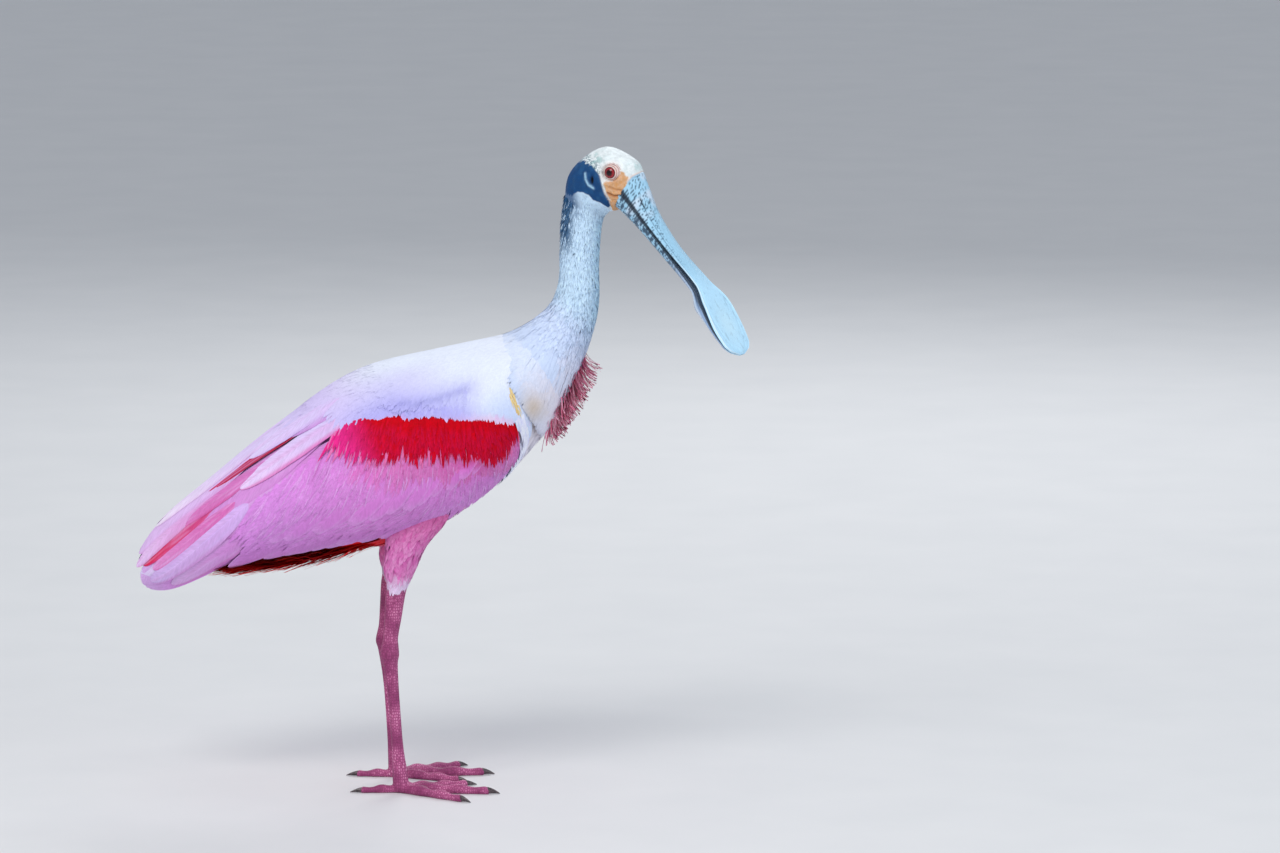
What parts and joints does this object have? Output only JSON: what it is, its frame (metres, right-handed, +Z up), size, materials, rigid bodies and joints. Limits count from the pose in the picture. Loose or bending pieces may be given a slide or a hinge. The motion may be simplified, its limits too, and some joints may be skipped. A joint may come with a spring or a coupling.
{
  "type": "roseate spoonbill",
  "caption": "Still model of a standing roseate spoonbill: pink folded wings, white upright neck, bare head turned to its right, long spoon-tipped bill pointing down, slender legs.",
  "frame": {"origin": "middle of the bounding box at floor level, beneath the body", "axes": "+Z up, +X the way the body faces, -Y the bird's right side; the head is turned toward -Y"},
  "size_m": [0.5102, 0.1666, 0.5371],
  "materials": {
    "plumage_white": "soft white body feathers, faintly lavender and pink",
    "plumage_pink": "pink flight and covert feathers with a crimson patch on the shoulder",
    "plumage_tail": "tawny tail feathers with crimson coverts",
    "plumage_neck": "short white neck down, crimson tuft on the breast",
    "head_skin": "bare greenish white skin, dark band behind the ear, orange by the eye",
    "bill_horn": "pale blue-grey horn with dark ticks at the root",
    "eye": "wet, dark red iris",
    "leg_skin": "scaled dull crimson skin",
    "claw_horn": "dark horn"
  },
  "bodies": {
    "root": {"torso": "plumage_white", "neck_lower": "plumage_neck", "neck_upper": "plumage_neck", "head": "head_skin", "bill_upper": "bill_horn", "bill_lower": "bill_horn", "eye_right": "eye", "eye_left": "eye", "tail": "plumage_tail", "wing_right": "plumage_pink", "wing_left": "plumage_pink", "thigh_right": "plumage_pink", "thigh_left": "plumage_pink", "shank_right": "leg_skin", "shank_left": "leg_skin", "tarsus_right": "leg_skin", "tarsus_left": "leg_skin", "foot_right": "leg_skin", "foot_left": "leg_skin", "claw_inner_right": "claw_horn", "claw_middle_right": "claw_horn", "claw_outer_right": "claw_horn", "claw_hind_right": "claw_horn", "claw_inner_left": "claw_horn", "claw_middle_left": "claw_horn", "claw_outer_left": "claw_horn", "claw_hind_left": "claw_horn"}
  },
  "joints": []
}
